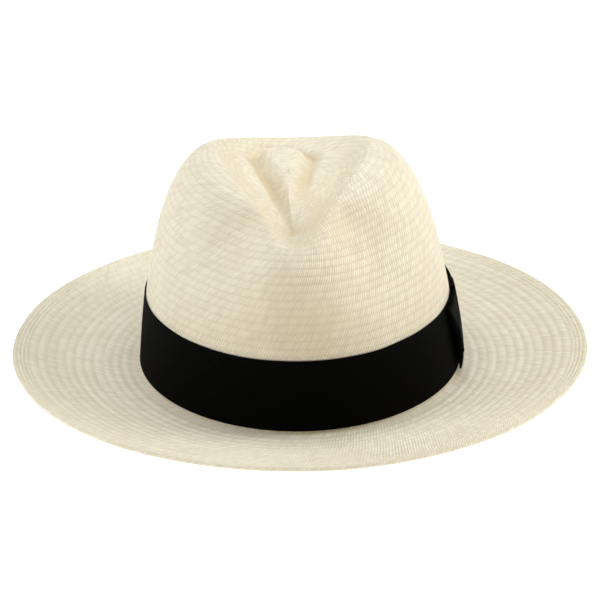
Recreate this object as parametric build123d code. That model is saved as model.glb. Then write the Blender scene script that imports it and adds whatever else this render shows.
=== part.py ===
from build123d import *
import math
import os

os.makedirs("parts", exist_ok=True)

# A straw panama hat with a pinched teardrop crown, standing on its brim.
# Millimetres, Z up. The front is -Y and the bow is on the wearer's left, +X.

# ---------------------------------------------------------------- main sizes
head_width = 173.0      # across the outside of the straw at the head line
head_length = 207.0     # front to back, same place
crown_height = 115.0    # floor to the top of the side ridges
brim_side = 69.0        # head line to the edge, seen from above
brim_front = 62.0
brim_back = 71.5
brim_rise = 11.0        # how far the edge curls up off the floor
egg = 0.03              # how much narrower the front of the head is
straw = 1.2             # woven straw, one layer
hem = 2.2               # the folded edge, two layers pressed flat
hem_width = 8.0
gap = 0.25              # air between one layer and the next

ribbon_tall = 38.0
ribbon_thick = 0.6
ribbon_low = 3.2        # lower edge of the ribbon above the floor
bow_front = -36.0       # the bow's two ends, measured along Y from the middle of the head
bow_back = 40.0
bow_thick = 0.34
knot_wide = 15.0
tail_extra = 13.0       # how far the cut tail shows behind the loop

leather = 0.9
leather_low = 3.4
leather_tall = 34.0
reed = 1.9              # plastic reed in the sweatband's lower edge
cloth = 0.3             # tape that wraps the reed
thread = 0.5

# ------------------------------------------------- the block the hat is shaped on
# half width, half length, centre x, centre y, point at the front,
# height at front, side, back, depth of the front pinch
size_x = head_width / 173.0
size_y = head_length / 207.0
size_z = crown_height / 115.0
block = [
    (0.01, 0.01, -4.5, 6.0, 0.00, 101.0, 101.0, 101.0, 0.0),    # middle of the tip
    (13.0, 22.0, -4.5, 5.0, 0.10, 100.0, 101.5, 102.5, 0.0),
    (21.0, 38.0, -4.0, 2.0, 0.25, 96.5, 103.0, 103.0, 0.0),
    (28.0, 50.0, -3.5, 0.0, 0.40, 91.5, 105.5, 102.0, 0.0),
    (33.0, 61.0, -3.0, -1.0, 0.48, 88.5, 110.0, 101.5, 0.0),    # inner bank
    (39.0, 72.0, -2.0, -1.0, 0.50, 90.5, 116.3, 106.0, 2.0),    # ridge
    (45.5, 78.5, -1.5, -0.5, 0.42, 91.5, 113.5, 99.0, 7.0),
    (49.5, 86.5, -1.2, -1.0, 0.30, 89.0, 113.0, 99.0, 13.0),    # shoulder
    (64.0, 93.0, -1.2, 0.0, 0.18, 82.5, 101.0, 93.0, 14.0),
    (74.5, 99.0, -1.0, 0.0, 0.08, 68.0, 77.0, 73.0, 7.0),
    (79.2, 102.5, -1.0, 0.0, egg, 57.0, 57.0, 57.0, 1.5),
    (82.2, 104.0, -0.6, 0.0, egg, 39.0, 39.0, 39.0, 0.0),       # top of the ribbon
    (85.2, 104.0, 0.0, 0.0, egg, 21.0, 21.0, 21.0, 0.0),
    (86.5, 103.5, 0.0, 0.0, egg, 6.0, 6.0, 6.0, 0.0),           # head line
]
pinch_at = math.radians(42.0)
pinch_wide = math.radians(19.0)

# the teardrop crease: a raised island between two grooves that meet at the front
crease_front = -49.0
crease_widest = 38.0
crease_back = 56.0
crease_half = 16.0
crease_x = -5.5
crease_slant = -0.045
groove_wide = 4.4
groove_deep = 6.0
island_tall = 4.5

# the brim's rows: millimetres out from the head line, share of the brim's width, share of its rise
brim_rows = [
    (0.4, 0.00, 0.000),
    (3.2, 0.00, 0.000),
    (4.0, 0.12, 0.010),
    (3.0, 0.35, 0.120),
    (0.0, 0.68, 0.500),
    (0.0, 1.00, 1.000),
]

steps = 48              # points round each row


def block_point(row, turn):
    half_w, half_l, cx, cy, point, z_front, z_side, z_back, pinch = row
    s = math.sin(turn)
    c = math.cos(turn)
    x = half_w * s * (1.0 - point * c)
    y = -half_l * c
    z = z_side + (z_front - z_back) / 2.0 * c + ((z_front + z_back) / 2.0 - z_side) * c * c
    away = abs((turn + math.pi) % (2.0 * math.pi) - math.pi)
    inward = pinch * math.exp(-(((away - pinch_at) / pinch_wide) ** 2))
    reach = math.hypot(x, y) + 1e-6
    x = x - inward * x / reach
    y = y - inward * y / reach
    return ((x + cx) * size_x, (y + cy) * size_y, z * size_z)


def oval_normal(turn):
    half_w = head_width / 2.0
    half_l = head_length / 2.0
    dx = half_w * (math.cos(turn) - egg * math.cos(2.0 * turn))
    dy = half_l * math.sin(turn)
    long = math.hypot(dx, dy)
    return (dy / long, -dx / long)


def brim_point(row, turn):
    out, share, lift = row
    s = math.sin(turn)
    c = math.cos(turn)
    width = brim_side * s * s + (brim_front if c > 0 else brim_back) * c * c
    reach = out + share * width
    x, y, z = block_point(block[-1], turn)
    nx, ny = oval_normal(turn)
    return (x + nx * reach, y + ny * reach, straw + 0.02 + brim_rise * lift)


def control(i, turn):
    if i < len(block):
        return block_point(block[i], turn)
    return brim_point(brim_rows[i - len(block)], turn)


last = len(block) + len(brim_rows) - 1


def crease(x, y):
    """Height that the teardrop crease adds to the plain top of the crown."""
    x = x / size_x
    y = y / size_y
    grow = crease_half / (crease_widest - crease_front)
    side = x - crease_x - crease_slant * y
    if y < crease_front:
        off = math.hypot(side, y - crease_front)
    elif y < crease_widest:
        half = grow * (y - crease_front)
        off = (abs(side) - half) / math.sqrt(1.0 + grow * grow)
    else:
        back = math.hypot(side / crease_half, (y - crease_widest) / (crease_back - crease_widest))
        off = (back - 1.0) * crease_half
    inside = 1.0 / (1.0 + math.exp(min(off / 2.6, 60.0)))
    fade = min(max((y + 32.0) / 60.0, 0.0), 1.0)
    fade = fade * fade * (3.0 - 2.0 * fade)
    right_part = 0.5 + 0.5 * math.tanh(side / 4.0)
    deep = groove_deep * (1.0 - right_part * 0.75 * (1.0 - fade))
    groove = deep * math.exp(-((off / groove_wide) ** 2))
    rise = min(max((y - crease_front) / 50.0, 0.0), 1.0)
    return (island_tall * inside * rise - groove) * size_z


def surface(u, turn):
    """Smooth surface through the rows; u runs from 0 at the tip to `last` at the brim's edge."""
    j = min(int(u), last - 1)
    t = u - j
    w = (
        (1.0 - t) ** 3 / 6.0,
        (3.0 * t**3 - 6.0 * t**2 + 4.0) / 6.0,
        (-3.0 * t**3 + 3.0 * t**2 + 3.0 * t + 1.0) / 6.0,
        t**3 / 6.0,
    )
    total = [0.0, 0.0, 0.0]
    for k in range(4):
        i = j + k - 1
        if i < 0:
            a = control(0, turn)
            b = control(1, turn)
            p = [2.0 * a[n] - b[n] for n in range(3)]
        elif i > last:
            a = control(last, turn)
            b = control(last - 1, turn)
            p = [2.0 * a[n] - b[n] for n in range(3)]
        else:
            p = control(i, turn)
        for n in range(3):
            total[n] += w[k] * p[n]
    if total[2] > 70.0 * size_z:
        total[2] += crease(total[0], total[1])
    return total


def normal(u, turn):
    """Unit normal, pointing to the outside or the top of the hat."""
    du = 0.02
    dt = 0.01
    lo = surface(max(u - du, 0.0), turn)
    hi = surface(min(u + du, float(last)), turn)
    left = surface(u, turn - dt)
    right = surface(u, turn + dt)
    a = [hi[n] - lo[n] for n in range(3)]
    b = [right[n] - left[n] for n in range(3)]
    x = a[1] * b[2] - a[2] * b[1]
    y = a[2] * b[0] - a[0] * b[2]
    z = a[0] * b[1] - a[1] * b[0]
    long = math.sqrt(x * x + y * y + z * z) + 1e-12
    return (x / long, y / long, z / long)


def at(u, turn, depth):
    """A point `depth` below the outer surface."""
    p = surface(u, turn)
    if u < 0.05:
        return (p[0], p[1], p[2] - depth)
    n = normal(u, turn)
    return (p[0] - n[0] * depth, p[1] - n[1] * depth, p[2] - n[2] * depth)


def loop(points):
    return Wire([Edge.make_spline([Vector(*p) for p in points], periodic=True)])


def row_wire(u, depth):
    return loop([at(u, 2.0 * math.pi * i / steps, depth) for i in range(steps)])


# ---------------------------------------------------------------- straw body
def brim_u(out):
    """u of the place this far in from the brim's edge, at the side of the hat."""
    edge = surface(float(last), math.pi / 2.0)[0]
    low = len(block) + 1.0
    high = float(last)
    for _ in range(40):
        mid = (low + high) / 2.0
        if surface(mid, math.pi / 2.0)[0] < edge - out:
            low = mid
        else:
            high = mid
    return (low + high) / 2.0


def even_rows(u0, u1, count):
    """Rows from u0 to u1 that lie evenly along the straw, averaged round the hat."""
    fine = 200
    turns = [math.pi * k / 6.0 for k in range(12)]
    walked = [0.0]
    before = [surface(u0, t) for t in turns]
    for i in range(1, fine + 1):
        now = [surface(u0 + (u1 - u0) * i / fine, t) for t in turns]
        walked.append(walked[-1] + sum(math.dist(a, b) for a, b in zip(before, now)))
        before = now
    rows = []
    for k in range(count + 1):
        want = walked[-1] * k / count
        i = max(n for n in range(fine + 1) if walked[n] <= want + 1e-9)
        part = 0.0 if i == fine else (want - walked[i]) / (walked[i + 1] - walked[i])
        rows.append(u0 + (u1 - u0) * (i + part) / fine)
    return rows


def solid_from(*shells):
    """One closed solid from shells whose edges meet."""
    faces = []
    for shell in shells:
        faces += shell.faces()
    sewn = Face.sew_faces(faces)
    return Solid(Shell(sewn[0]))


head_u = len(block) - 1.0
foot_u = head_u + 2.0
edge_u = float(last)
hem_u = brim_u(hem_width)
crown_rows = even_rows(0.0, head_u, 36)[1:]
foot_rows = even_rows(head_u, foot_u, 6)
brim_rows_u = even_rows(foot_u, hem_u, 8)


def skin(depth):
    """The crown, foot and brim surfaces at one depth below the outside."""
    tip = Vertex(*at(0.0, 0.0, depth))
    crown = [row_wire(u, depth) for u in crown_rows]
    foot = [row_wire(u, depth) for u in foot_rows]
    brim = [row_wire(u, depth) for u in brim_rows_u]
    return [
        Shell.make_loft([tip] + crown),
        Shell.make_loft([crown[-1]] + foot[1:]),
        Shell.make_loft([foot[-1]] + brim[1:]),
    ]


hem_mid = even_rows(hem_u, edge_u, 2)[1]
hem_top = Shell.make_loft([row_wire(hem_u, 0.0), row_wire(hem_mid, 0.0), row_wire(edge_u, 0.0)])
hem_under = Shell.make_loft([row_wire(hem_u, hem), row_wire(hem_mid, hem), row_wire(edge_u, hem)])
hem_step = Shell.make_loft([row_wire(hem_u, straw), row_wire(hem_u, hem)], ruled=True)
rim = Shell.make_loft([row_wire(edge_u, hem), row_wire(edge_u, 0.0)], ruled=True)
straw_body = solid_from(*skin(0.0), *skin(straw), hem_top, hem_under, hem_step, rim)


# ------------------------------------------------------- layers on the crown's wall
def wall(z, turn, out):
    """A point on the crown's wall at this height, moved out sideways by `out`."""
    low = head_u - 4.0
    high = head_u + 1.6
    for _ in range(30):
        mid = (low + high) / 2.0
        if surface(mid, turn)[2] > z:
            low = mid
        else:
            high = mid
    x, y, _ = surface(low, turn)
    nx, ny = oval_normal(turn)
    return (x + nx * out, y + ny * out, z)


def levels(z0, z1, count):
    return [z0 + (z1 - z0) * k / count for k in range(count + 1)]


turns = [2.0 * math.pi * i / steps for i in range(steps)]


def around(loops):
    """One closed solid from loops of points that go once round a cross-section."""
    wires = [loop(points) for points in loops]
    shells = []
    for i, wire in enumerate(wires):
        shells.append(Shell.make_loft([wire, wires[(i + 1) % len(wires)]], ruled=True))
    solid = solid_from(*shells)
    return solid if solid.volume > 0 else solid.fix()


def hoop(section):
    """A solid right round the wall, from corners given as height and distance out."""
    return around([[wall(z, t, out) for t in turns] for z, out in section])


def band_section(z0, z1, out0, out1, parts=4):
    section = [(z, out1) for z in levels(z0, z1, parts)]
    section += [(z, out0) for z in reversed(levels(z0, z1, parts))]
    return section


def round_section(z, out, radius, sides=10):
    corners = [2.0 * math.pi * k / sides for k in range(sides)]
    return [(z + radius * math.sin(c), out + radius * math.cos(c)) for c in corners]


def strip(z0, z1, turn0, ends, out0, out1, count=8):
    """A curved strip that follows the wall; `ends` gives its far end at each height."""
    wires = []
    for z, turn1 in zip(levels(z0, z1, len(ends) - 1), ends):
        along = [turn0 + (turn1 - turn0) * k / count for k in range(count + 1)]
        near = [Vector(*wall(z, t, out0)) for t in along]
        far = [Vector(*wall(z, t, out1)) for t in reversed(along)]
        wires.append(Wire([
            Edge.make_spline(near),
            Edge.make_line(near[-1], far[0]),
            Edge.make_spline(far),
            Edge.make_line(far[-1], near[0]),
        ]))
    return Solid.make_loft(wires, ruled=True)


def folded_loop(z0, z1, turn0, turn1, near, way, thick, waist, swell, fullness, stand_off):
    """A ribbon ring pressed flat: thin in the middle and open at both rounded ends."""
    middle = (turn0 + turn1) / 2.0
    half_span = (turn1 - turn0) / 2.0

    def outline(z, full, inset):
        def spot(t, share, beyond=0.0):
            half = waist + swell * full * abs(t) ** 1.6
            start = near + way * stand_off * full * max(0.0, -t) ** 2
            depth = inset + share * 2.0 * (half - inset)
            turn = middle + half_span * t + beyond / (head_length / 2.0)
            x, y, _ = wall(z, turn, start + way * depth)
            return Vector(x, y, z)

        bulge = waist + swell * full - inset
        along = [-1.0 + k / 4.0 for k in range(9)]
        return Wire([
            Edge.make_spline([spot(t, 0.0) for t in along]),
            Edge.make_three_point_arc(spot(1.0, 0.0), spot(1.0, 0.5, bulge), spot(1.0, 1.0)),
            Edge.make_spline([spot(t, 1.0) for t in reversed(along)]),
            Edge.make_three_point_arc(spot(-1.0, 1.0), spot(-1.0, 0.5, -bulge), spot(-1.0, 0.0)),
        ])

    heights = levels(z0, z1, len(fullness) - 1)
    outside = [outline(z, f, 0.0) for z, f in zip(heights, fullness)]
    inside = [outline(z, f, thick) for z, f in zip(heights, fullness)]
    shells = []
    for wires in (outside, inside):
        for low, high in zip(wires, wires[1:]):
            shells.append(Shell.make_loft([low, high], ruled=True))
    ends = [Face(outside[k], [inside[k]]) for k in (0, -1)]
    solid = solid_from(*shells, *ends)
    return solid if solid.volume > 0 else solid.fix()


def tack(z0, out0, z1, out1, turn):
    """One short hand stitch between two points on the wall."""
    a = Vector(*wall(z0, turn, out0))
    b = Vector(*wall(z1, turn, out1))
    return Solid.make_cylinder(thread / 2.0, (b - a).length, Plane(origin=a, z_dir=(b - a)))


def side_turn(y):
    """The turn at which the wall passes this Y on the +X side."""
    return math.acos(-y / (head_length / 2.0))


ribbon_top = ribbon_low + ribbon_tall
band_in = gap
band_out = gap + ribbon_thick
middle_y = (bow_front + bow_back) / 2.0
knot0 = side_turn(middle_y - knot_wide / 2.0)
knot1 = side_turn(middle_y + knot_wide / 2.0)

# the hat ribbon: one length, its ends meeting under the knot
ribbon_band = hoop(band_section(ribbon_low, ribbon_top, band_in, band_out))
slit = Box(20.0, 0.8, ribbon_tall + 10.0)
slit = slit.locate(Pos(head_width / 2.0, middle_y, ribbon_low + ribbon_tall / 2.0))
ribbon_band = ribbon_band - slit

# the bow, layer by layer outwards: back of the knot, tail, loop, front of the knot
knot_in = band_out + 0.1
tail_in = knot_in + bow_thick + 0.12
loop_in = tail_in + bow_thick + 0.12
waist = bow_thick + 0.06
knot_hole = loop_in + 2.0 * waist + 0.15

tail_ends = [side_turn(bow_back + tail_extra - cut) for cut in (0.0, 4.5, 9.0, 4.5, 0.0)]
bow_tail = strip(
    ribbon_low + 0.4, ribbon_top - 0.4, side_turn(middle_y - 4.0), tail_ends,
    tail_in, tail_in + bow_thick, 12,
)

bow_loop = folded_loop(
    ribbon_low + 0.3, ribbon_top - 0.3, side_turn(bow_front), side_turn(bow_back),
    loop_in, 1.0, bow_thick, waist, 1.3, [0.1, 0.8, 1.15, 0.4], 1.0,
)

knot_block = strip(
    ribbon_low - 0.65, ribbon_top + 0.65, knot0, [knot1] * 4, knot_in, knot_hole + bow_thick,
)
knot_space = strip(
    ribbon_low - 0.2, ribbon_top + 0.2, knot0 - 0.03, [knot1 + 0.03] * 4, knot_in + bow_thick, knot_hole,
)
bow_knot = knot_block - knot_space

stitch_out = tail_in + bow_thick + 0.1
bow_stitches = Compound(children=[
    tack(ribbon_low + 5.0, -0.4, ribbon_low + 5.0, stitch_out, side_turn(bow_back + 6.0)),
    tack(ribbon_top - 5.0, -0.4, ribbon_top - 5.0, stitch_out, side_turn(bow_back + 6.0)),
    tack(ribbon_top - 2.0, -0.4, ribbon_top - 2.0, stitch_out, side_turn(bow_back + 3.0)),
])
ribbon_stitches = Compound(children=[
    tack(ribbon_top - 1.4, band_out - 0.05, ribbon_top + 1.2, -0.35, math.radians(turn))
    for turn in (0, 38, 140, 180, 220, 262, 300, 330)
])

# ------------------------------------------------------------------ inside the hat
cloth_in = straw + gap
leather_out = cloth_in + cloth + 0.25
leather_in = leather_out + leather
reed_z = leather_low - reed / 2.0 - cloth + 0.1
reed_out = cloth_in + cloth + reed / 2.0 + 0.12
sweatband_reed = around([
    [wall(reed_z, t, -reed_out + x)[:2] + (z,) for t in turns]
    for z, x in round_section(reed_z, 0.0, reed / 2.0, 12)
])

# the tape comes down behind the leather, goes under the reed and up its inner side
tape_in = cloth_in + cloth
hook_in = reed_out + reed / 2.0 + 0.1
reed_low = reed_z - reed / 2.0 - 0.1
tape_top = leather_low + 7.0
reed_cloth = around([
    [wall(max(z, reed_z), t, -out)[:2] + (z,) for t in turns]
    for z, out in (
        (reed_low - cloth, cloth_in + 0.05),
        (reed_z, cloth_in),
        (tape_top / 2.0, cloth_in),
        (tape_top, cloth_in),
        (tape_top, tape_in),
        (tape_top / 2.0, tape_in),
        (reed_z, tape_in),
        (reed_low, tape_in + 0.05),
        (reed_low, hook_in),
        (leather_low - 0.1, hook_in),
        (leather_low - 0.1, hook_in + cloth),
        (reed_low - cloth, hook_in + cloth),
    )
])

sweatband = hoop(band_section(leather_low + 0.4, leather_low + leather_tall, -leather_in, -leather_out))
seam = Box(0.8, 20.0, leather_tall + 10.0)
seam = seam.locate(Pos(0.0, head_length / 2.0, leather_low + leather_tall / 2.0))
sweatband = sweatband - seam
sweatband_stitching = hoop(round_section(leather_low + 2.6, -leather_in, thread / 2.0, 8))

# the hem's line of stitches lies on the underside, half sunk in the straw
hem_line = [at(hem_u + 0.12, t, hem) for t in turns]
hem_loops = []
for z, x in round_section(0.0, 0.0, thread / 2.0, 8):
    loop_points = []
    for t, p in zip(turns, hem_line):
        nx, ny = oval_normal(t)
        loop_points.append((p[0] + nx * x, p[1] + ny * x, p[2] + z))
    hem_loops.append(loop_points)
hem_stitching = around(hem_loops)

patch_in = leather_in + 0.2
joint_patch = strip(
    leather_low + 4.5, leather_low + leather_tall - 1.5,
    math.pi - 0.12, [math.pi + 0.12] * 4, -patch_in - 0.6, -patch_in, 6,
)
bow_near = patch_in + 0.8
rear_z = leather_low + 16.0
rear_bow_loops = folded_loop(
    rear_z - 2.0, rear_z + 2.0, math.pi - 0.2, math.pi + 0.2,
    -bow_near - 0.75, -1.0, 0.3, 0.4, 1.2, [1.0, 1.0], 0.0,
)
rear_block = strip(
    rear_z - 2.8, rear_z + 2.8, math.pi - 0.04, [math.pi + 0.04] * 2, -bow_near - 2.25, -bow_near - 0.1, 4,
)
rear_space = strip(
    rear_z - 2.3, rear_z + 2.3, math.pi - 0.06, [math.pi + 0.06] * 2, -bow_near - 1.8, -bow_near - 0.55, 4,
)
rear_bow_knot = rear_block - rear_space

# ------------------------------------------------------------------ write the parts
box = straw_body.bounding_box()
centre = Pos(-(box.min.X + box.max.X) / 2.0, -(box.min.Y + box.max.Y) / 2.0, -box.min.Z)
parts = {
    "straw_body": straw_body,
    "hem_stitching": hem_stitching,
    "ribbon_band": ribbon_band,
    "ribbon_stitches": ribbon_stitches,
    "bow_tail": bow_tail,
    "bow_loop": bow_loop,
    "bow_knot": bow_knot,
    "bow_stitches": bow_stitches,
    "sweatband": sweatband,
    "sweatband_stitching": sweatband_stitching,
    "sweatband_reed": sweatband_reed,
    "reed_cloth": reed_cloth,
    "joint_patch": joint_patch,
    "rear_bow_loops": rear_bow_loops,
    "rear_bow_knot": rear_bow_knot,
}
for name, shape in parts.items():
    export_step(centre * shape, "parts/" + name + ".step")
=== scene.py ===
import bpy
import math
import numpy as np
from mathutils import Matrix, Vector


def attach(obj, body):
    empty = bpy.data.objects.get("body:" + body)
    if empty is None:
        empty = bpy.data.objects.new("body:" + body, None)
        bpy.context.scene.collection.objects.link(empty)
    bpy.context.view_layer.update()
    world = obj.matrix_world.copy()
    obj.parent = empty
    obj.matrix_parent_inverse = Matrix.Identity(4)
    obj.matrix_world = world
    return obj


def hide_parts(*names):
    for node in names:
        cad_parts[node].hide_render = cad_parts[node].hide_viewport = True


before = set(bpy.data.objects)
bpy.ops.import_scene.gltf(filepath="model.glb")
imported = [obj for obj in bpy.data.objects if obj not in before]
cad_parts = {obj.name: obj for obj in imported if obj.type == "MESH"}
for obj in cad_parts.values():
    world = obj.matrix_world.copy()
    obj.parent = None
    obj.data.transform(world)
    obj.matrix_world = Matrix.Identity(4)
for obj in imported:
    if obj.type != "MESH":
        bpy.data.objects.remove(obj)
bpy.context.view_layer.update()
MM = 0.001
rng = np.random.default_rng(58)

# ------------------------------------------------------------ sizes, in millimetres
# The same block and the same layers as the CAD model.
HEAD_W = 173.0
HEAD_L = 207.0
BRIM_SIDE = 69.0
BRIM_FRONT = 62.0
BRIM_BACK = 71.5
BRIM_RISE = 11.0
EGG = 0.03
STRAW = 1.2
HEM = 2.2
HEM_WIDTH = 8.0
RIBBON_LOW = 3.2
RIBBON_TALL = 38.0
RIBBON_TOP = RIBBON_LOW + RIBBON_TALL
BAND_IN = 0.25
BAND_OUT = 0.85
BOW_FRONT = -36.0
BOW_BACK = 40.0
BOW_MIDDLE = (BOW_FRONT + BOW_BACK) / 2.0
BOW_THICK = 0.34
KNOT_WIDE = 15.0
LEATHER_LOW = 3.4
LEATHER_TALL = 34.0
RING = 4.05           # one round of the weave on the crown
BRIM_RING = 5.0       # and on the brim, where it is stretched
STITCH = 1.7          # one slanted strand along a round

BLOCK = np.array([
    [0.01, 0.01, -4.5, 6.0, 0.00, 101.0, 101.0, 101.0, 0.0],
    [13.0, 22.0, -4.5, 5.0, 0.10, 100.0, 101.5, 102.5, 0.0],
    [21.0, 38.0, -4.0, 2.0, 0.25, 96.5, 103.0, 103.0, 0.0],
    [28.0, 50.0, -3.5, 0.0, 0.40, 91.5, 105.5, 102.0, 0.0],
    [33.0, 61.0, -3.0, -1.0, 0.48, 88.5, 110.0, 101.5, 0.0],
    [39.0, 72.0, -2.0, -1.0, 0.50, 90.5, 116.3, 106.0, 2.0],
    [45.5, 78.5, -1.5, -0.5, 0.42, 91.5, 113.5, 99.0, 7.0],
    [49.5, 86.5, -1.2, -1.0, 0.30, 89.0, 113.0, 99.0, 13.0],
    [64.0, 93.0, -1.2, 0.0, 0.18, 82.5, 101.0, 93.0, 14.0],
    [74.5, 99.0, -1.0, 0.0, 0.08, 68.0, 77.0, 73.0, 7.0],
    [79.2, 102.5, -1.0, 0.0, EGG, 57.0, 57.0, 57.0, 1.5],
    [82.2, 104.0, -0.6, 0.0, EGG, 39.0, 39.0, 39.0, 0.0],
    [85.2, 104.0, 0.0, 0.0, EGG, 21.0, 21.0, 21.0, 0.0],
    [86.5, 103.5, 0.0, 0.0, EGG, 6.0, 6.0, 6.0, 0.0],
])
# the teardrop crease: a raised island between two grooves that meet at the front
CREASE_FRONT = -49.0
CREASE_WIDE = 38.0
CREASE_BACK = 56.0
CREASE_HALF = 16.0
CREASE_X = -5.5
CREASE_SLANT = -0.045
GROOVE_WIDE = 4.4
GROOVE_DEEP = 6.0
ISLAND_TALL = 4.5
BRIM_ROWS = [
    (0.4, 0.0, 0.0), (3.2, 0.0, 0.0), (4.0, 0.12, 0.01),
    (3.0, 0.35, 0.12), (0.0, 0.68, 0.5), (0.0, 1.0, 1.0),
]
PINCH_AT = math.radians(42.0)
PINCH_WIDE = math.radians(19.0)
LAST = len(BLOCK) + len(BRIM_ROWS) - 1
HEAD_U = len(BLOCK) - 1.0
FOOT_U = HEAD_U + 2.0


def block_rows(turns):
    s, c = np.sin(turns), np.cos(turns)
    away = np.abs((turns + np.pi) % (2.0 * np.pi) - np.pi)
    dent = np.exp(-(((away - PINCH_AT) / PINCH_WIDE) ** 2))
    rows = []
    for half_w, half_l, cx, cy, point, z_front, z_side, z_back, pinch in BLOCK:
        x = half_w * s * (1.0 - point * c)
        y = -half_l * c
        z = z_side + (z_front - z_back) / 2.0 * c + ((z_front + z_back) / 2.0 - z_side) * c * c
        reach = np.hypot(x, y) + 1e-6
        x = x - pinch * dent * x / reach
        y = y - pinch * dent * y / reach
        rows.append(np.stack([x + cx, y + cy, z], -1))
    return rows


def crease(x, y):
    """Height that the teardrop crease adds to the plain top."""
    grow = CREASE_HALF / (CREASE_WIDE - CREASE_FRONT)
    side = x - CREASE_X - CREASE_SLANT * y
    off = (np.abs(side) - grow * (y - CREASE_FRONT)) / math.sqrt(1.0 + grow * grow)
    off = np.where(y < CREASE_FRONT, np.hypot(side, y - CREASE_FRONT), off)
    back = np.hypot(side / CREASE_HALF, (y - CREASE_WIDE) / (CREASE_BACK - CREASE_WIDE))
    off = np.where(y > CREASE_WIDE, (back - 1.0) * CREASE_HALF, off)
    inside = 1.0 / (1.0 + np.exp(off / 2.6))
    fade = np.clip((y + 32.0) / 60.0, 0.0, 1.0)
    right_part = 0.5 + 0.5 * np.tanh(side / 4.0)
    deep = GROOVE_DEEP * (1.0 - right_part * 0.75 * (1.0 - fade * fade * (3.0 - 2.0 * fade)))
    groove = deep * np.exp(-((off / GROOVE_WIDE) ** 2))
    rise = np.clip((y - CREASE_FRONT) / 50.0, 0.0, 1.0)
    return ISLAND_TALL * inside * rise - groove


def oval_normal(turns):
    dx = HEAD_W / 2.0 * (np.cos(turns) - EGG * np.cos(2.0 * turns))
    dy = HEAD_L / 2.0 * np.sin(turns)
    long = np.hypot(dx, dy)
    return np.stack([dy / long, -dx / long], -1)


def controls(turns):
    rows = block_rows(turns)
    base = rows[-1]
    s, c = np.sin(turns), np.cos(turns)
    width = BRIM_SIDE * s * s + np.where(c > 0, BRIM_FRONT, BRIM_BACK) * c * c
    out = oval_normal(turns)
    for push, share, lift in BRIM_ROWS:
        p = base.copy()
        p[:, :2] += out * (push + share * width)[:, None]
        p[:, 2] = STRAW + 0.02 + BRIM_RISE * lift
        rows.append(p)
    rows = [2.0 * rows[0] - rows[1]] + rows + [2.0 * rows[-1] - rows[-2]]
    return np.array(rows)


def surface(u, turns, ctrl=None):
    """Points of the hat's outer surface; u is (rows, columns), or one value for each row."""
    ctrl = controls(turns) if ctrl is None else ctrl
    u = np.asarray(u, float)
    if u.ndim == 1:
        u = np.repeat(u[:, None], len(turns), 1)
    j = np.minimum(u.astype(int), LAST - 1)
    t = (u - j)[..., None]
    cols = np.arange(len(turns))[None, :]
    weights = (
        (1.0 - t) ** 3 / 6.0,
        (3.0 * t**3 - 6.0 * t**2 + 4.0) / 6.0,
        (-3.0 * t**3 + 3.0 * t**2 + 3.0 * t + 1.0) / 6.0,
        t**3 / 6.0,
    )
    points = sum(w * ctrl[j + k, cols] for k, w in enumerate(weights))
    points[..., 2] += np.where(points[..., 2] > 70.0, crease(points[..., 0], points[..., 1]), 0.0)
    return points


def normals(points):
    """Unit normals of a grid that is closed along its columns, pointing out of the hat."""
    along = np.gradient(points, axis=0)
    round_it = (np.roll(points, -1, 1) - np.roll(points, 1, 1)) / 2.0
    n = np.cross(along, round_it)
    n /= np.linalg.norm(n, axis=-1, keepdims=True) + 1e-12
    if np.ptp(points[0], axis=0).max() < 1.0:
        n[0] = (0.0, 0.0, 1.0)
    return n


def turn_ring(count):
    return np.linspace(0.0, 2.0 * np.pi, count, endpoint=False)


# the CAD model is centred on its bounding box, so the same shift is found here
_edge_turns = turn_ring(720)
_edge = surface(np.array([LAST - 0.02, LAST]), _edge_turns)
_n = normals(_edge)[1]
_rim = np.concatenate([_edge[1], _edge[1] - _n * HEM])
SHIFT_Y = -(_rim[:, 1].min() + _rim[:, 1].max()) / 2.0
SHIFT_Z = -0.037
SHIFT = np.array([0.0, SHIFT_Y, SHIFT_Z])


def wall(z, turns, out):
    """Points on the crown's wall at heights z, moved out sideways by `out`, as (rows, columns)."""
    turns = np.asarray(turns, float)
    z, out = np.broadcast_arrays(np.asarray(z, float), np.asarray(out, float))
    if z.ndim < 2:
        z = np.repeat(z.reshape(-1, 1), len(turns), 1)
        out = np.repeat(out.reshape(-1, 1), len(turns), 1)
    z, out = np.broadcast_to(z, (z.shape[0], len(turns))), np.broadcast_to(out, (z.shape[0], len(turns)))
    table = surface(np.linspace(HEAD_U - 4.0, HEAD_U + 1.6, 160), turns)
    x = np.empty(z.shape)
    y = np.empty(z.shape)
    for k in range(len(turns)):
        heights = table[::-1, k, 2]
        x[:, k] = np.interp(z[:, k], heights, table[::-1, k, 0])
        y[:, k] = np.interp(z[:, k], heights, table[::-1, k, 1])
    n = oval_normal(turns)
    return np.stack([x + n[None, :, 0] * out, y + n[None, :, 1] * out, z], -1)


def side_turn(y):
    return np.arccos(np.clip(-np.asarray(y, float) / (HEAD_L / 2.0), -1.0, 1.0))


def wander(count, waves, seed, power=1.0):
    """A smooth closed random line of unit size."""
    r = np.random.default_rng(seed)
    t = np.linspace(0.0, 2.0 * np.pi, count, endpoint=False)
    total = np.zeros(count)
    for k in waves:
        total += np.cos(k * t + r.uniform(0, 6.28)) * r.uniform(0.5, 1.0) / k**power
    return total / (np.abs(total).max() + 1e-9)


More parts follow.
